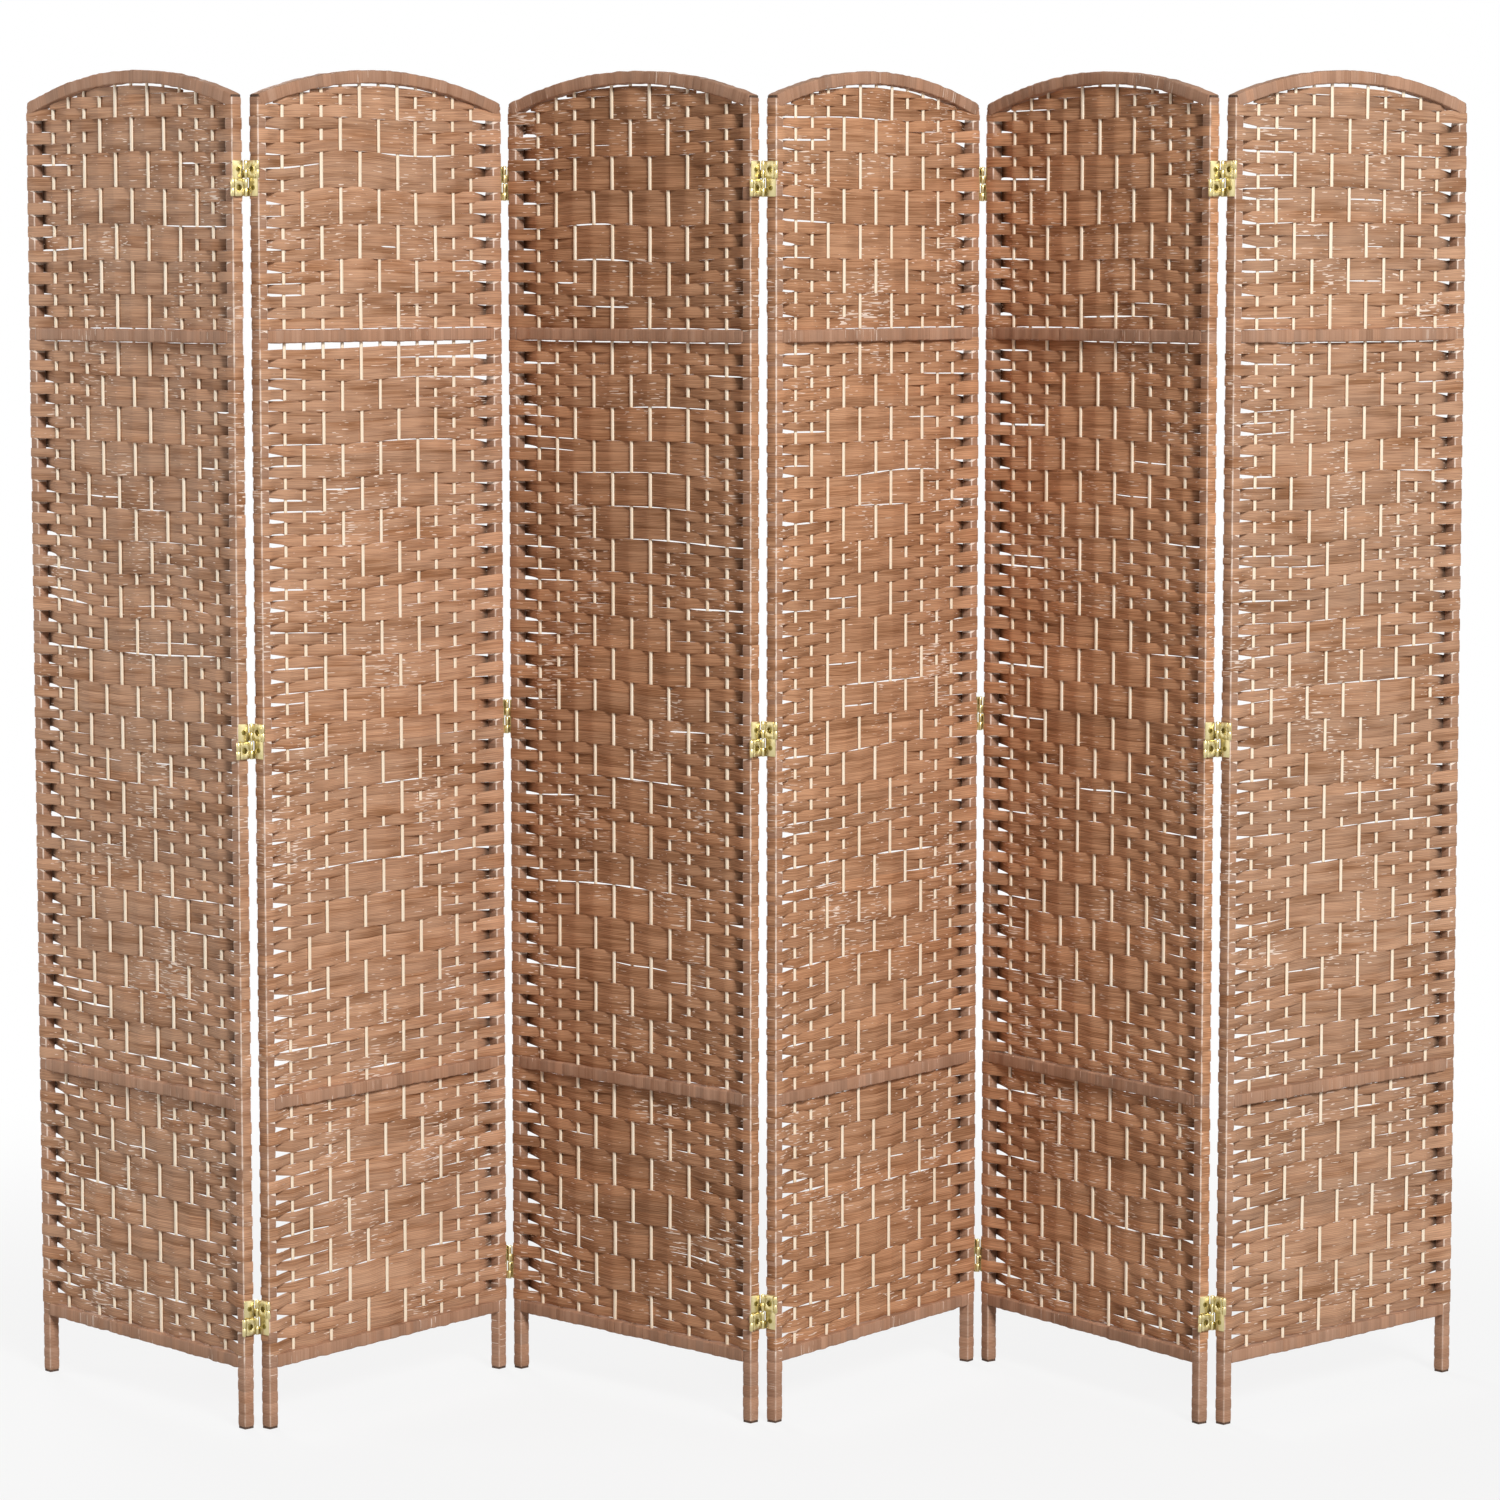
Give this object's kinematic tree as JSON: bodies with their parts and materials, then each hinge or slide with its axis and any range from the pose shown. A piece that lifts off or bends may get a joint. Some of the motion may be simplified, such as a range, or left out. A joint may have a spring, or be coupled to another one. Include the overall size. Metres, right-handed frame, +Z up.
{
  "type": "folding privacy screen",
  "caption": "Free-standing folding screen: arched panels of woven paper strands on wound wooden frames, joined by double-acting brass hinges, standing in a zigzag.",
  "frame": {"origin": "on the floor, under the middle of the screen's overall box in its zigzag stance", "axes": "+X to the right along the screen as seen from the front, +Y to the back, +Z up"},
  "size_m": [1.862, 0.4194, 1.7],
  "materials": {
    "post_wood": "dark stained ends",
    "rail_wood": "sawn, hidden",
    "stake_wood": "pale, smooth",
    "winding_cord": "matt twisted cord",
    "woven_strand": "matt twisted cord",
    "hinge_brass": "bright plated",
    "screw_brass": "bright plated"
  },
  "bodies": {
    "panel_1": {"panel_1_posts": "post_wood", "panel_1_arched_top_rail": "rail_wood", "panel_1_cross_rails": "rail_wood", "panel_1_frame_winding": "winding_cord", "panel_1_stakes": "stake_wood", "panel_1_weave": "woven_strand", "panel_1_hinge_leaves": "hinge_brass", "panel_1_hinge_links": "hinge_brass", "panel_1_hinge_pins": "hinge_brass", "panel_1_hinge_screws": "screw_brass"},
    "panel_2": {"panel_2_posts": "post_wood", "panel_2_arched_top_rail": "rail_wood", "panel_2_cross_rails": "rail_wood", "panel_2_frame_winding": "winding_cord", "panel_2_stakes": "stake_wood", "panel_2_weave": "woven_strand", "panel_2_hinge_leaves": "hinge_brass", "panel_2_hinge_links": "hinge_brass", "panel_2_hinge_pins": "hinge_brass", "panel_2_hinge_screws": "screw_brass"},
    "panel_3": {"panel_3_posts": "post_wood", "panel_3_arched_top_rail": "rail_wood", "panel_3_cross_rails": "rail_wood", "panel_3_frame_winding": "winding_cord", "panel_3_stakes": "stake_wood", "panel_3_weave": "woven_strand", "panel_3_hinge_leaves": "hinge_brass", "panel_3_hinge_links": "hinge_brass", "panel_3_hinge_pins": "hinge_brass", "panel_3_hinge_screws": "screw_brass"},
    "panel_4": {"panel_4_posts": "post_wood", "panel_4_arched_top_rail": "rail_wood", "panel_4_cross_rails": "rail_wood", "panel_4_frame_winding": "winding_cord", "panel_4_stakes": "stake_wood", "panel_4_weave": "woven_strand", "panel_4_hinge_leaves": "hinge_brass", "panel_4_hinge_links": "hinge_brass", "panel_4_hinge_pins": "hinge_brass", "panel_4_hinge_screws": "screw_brass"},
    "panel_5": {"panel_5_posts": "post_wood", "panel_5_arched_top_rail": "rail_wood", "panel_5_cross_rails": "rail_wood", "panel_5_frame_winding": "winding_cord", "panel_5_stakes": "stake_wood", "panel_5_weave": "woven_strand", "panel_5_hinge_leaves": "hinge_brass", "panel_5_hinge_links": "hinge_brass", "panel_5_hinge_pins": "hinge_brass", "panel_5_hinge_screws": "screw_brass"},
    "panel_6": {"panel_6_posts": "post_wood", "panel_6_arched_top_rail": "rail_wood", "panel_6_cross_rails": "rail_wood", "panel_6_frame_winding": "winding_cord", "panel_6_stakes": "stake_wood", "panel_6_weave": "woven_strand", "panel_6_hinge_leaves": "hinge_brass", "panel_6_hinge_links": "hinge_brass", "panel_6_hinge_pins": "hinge_brass", "panel_6_hinge_screws": "screw_brass"}
  },
  "joints": [
    {"name": "fold_3_4", "type": "hinge", "parent": "panel_3", "child": "panel_4", "pos_m": [0.02059, -0.16038, 0], "axis": [0, 0, 1], "range_deg": [-99, 81]},
    {"name": "fold_4_5", "type": "hinge", "parent": "panel_4", "child": "panel_5", "pos_m": [0.3085, 0.19509, 0], "axis": [0, 0, -1], "range_deg": [-108.5, 71.5]},
    {"name": "fold_5_6", "type": "hinge", "parent": "panel_5", "child": "panel_6", "pos_m": [0.58701, -0.16779, 0], "axis": [0, 0, 1], "range_deg": [-98, 82]},
    {"name": "fold_2_3", "type": "hinge", "parent": "panel_3", "child": "panel_2", "pos_m": [-0.31399, 0.15156, 0], "axis": [0, 0, 1], "range_deg": [-97, 83]},
    {"name": "fold_1_2", "type": "hinge", "parent": "panel_2", "child": "panel_1", "pos_m": [-0.61413, -0.19364, 0], "axis": [0, 0, -1], "range_deg": [-99.5, 80.5]}
  ]
}
